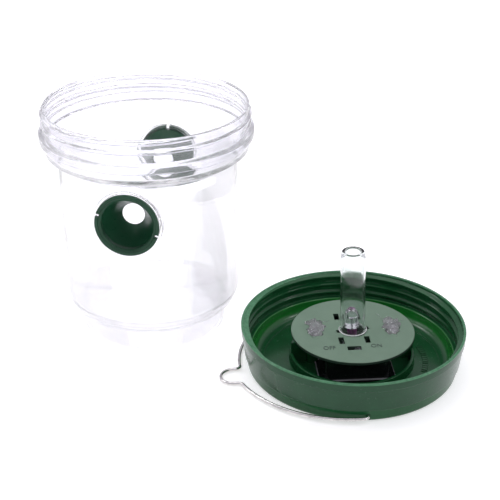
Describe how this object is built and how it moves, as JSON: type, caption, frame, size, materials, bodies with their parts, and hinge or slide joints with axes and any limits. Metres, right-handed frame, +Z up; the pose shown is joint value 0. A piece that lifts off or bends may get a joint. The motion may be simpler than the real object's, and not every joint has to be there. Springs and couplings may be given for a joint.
{
  "type": "hanging insect trap",
  "caption": "Clear jar trap with two entry funnels in its wall and a screw lid that carries a solar light module, a light tube and a wire bail.",
  "frame": {"origin": "centre of the jar's flat base", "axes": "+Z up along the jar's axis, +X from the jar's axis towards the lid's axis"},
  "size_m": [0.2654, 0.1353, 0.1465],
  "materials": {
    "clear_jar": "crystal clear moulded plastic",
    "clear_tube": "clear moulded plastic",
    "green_plastic": "moulded green plastic, satin gloss",
    "cover_plastic": "fine matte moulded plastic",
    "black_plastic": "glossy moulded plastic",
    "bail_wire": "bright drawn wire",
    "steel_small": "zinc plated",
    "board": "solder mask",
    "solar_glass": "clear resin",
    "solar_silicon": "dark blue cell with silver lines",
    "lamp": "clear epoxy",
    "purple_plastic": "smooth",
    "glue": "clear hot glue",
    "battery_wrap": "shrink sleeve",
    "red_lead": "insulated wire",
    "black_lead": "insulated wire"
  },
  "bodies": {
    "jar": {"jar": "clear_jar"},
    "front_funnel": {"front_funnel": "green_plastic"},
    "rear_funnel": {"rear_funnel": "green_plastic"},
    "lid": {"lid": "green_plastic", "module_cover": "cover_plastic", "solar_housing": "black_plastic", "solar_cell": "solar_silicon", "solar_window": "solar_glass", "circuit_board": "board", "board_screws": "steel_small", "battery": "battery_wrap", "battery_contacts": "steel_small", "led": "lamp", "led_spacer": "purple_plastic", "switch_body": "black_plastic", "module_screws": "steel_small", "glue_plug_left": "glue", "glue_plug_right": "glue", "solar_lead_red": "red_lead", "solar_lead_black": "black_lead"},
    "bail": {"bail": "bail_wire"},
    "switch_knob": {"switch_knob": "black_plastic"},
    "light_tube": {"light_tube": "clear_tube"}
  },
  "joints": [
    {"name": "front_funnel_turn", "type": "hinge", "parent": "jar", "child": "front_funnel", "pos_m": [0.01439, -0.05526, 0.0924], "axis": [0.2521, -0.9677, 0], "continuous": true},
    {"name": "rear_funnel_turn", "type": "hinge", "parent": "jar", "child": "rear_funnel", "pos_m": [-0.01439, 0.05526, 0.0924], "axis": [-0.2521, 0.9677, 0], "continuous": true},
    {"name": "lid_over", "type": "hinge", "parent": "jar", "child": "lid", "pos_m": [0.0671, 0, 0.09], "axis": [0, -1, 0], "range_deg": [0, 180]},
    {"name": "bail_swing", "type": "hinge", "parent": "lid", "child": "bail", "pos_m": [0.1342, 0, 0.0039], "axis": [0.4617, -0.887, 0], "range_deg": [-4, 180]},
    {"name": "tube_pull", "type": "slide", "parent": "lid", "child": "light_tube", "axis": [-0.031, -0.0161, 0.9994], "range_m": [0, 0.045]},
    {"name": "switch_slide", "type": "slide", "parent": "lid", "child": "switch_knob", "axis": [-0.887, -0.4617, 0], "range_m": [0, 0.004]}
  ]
}
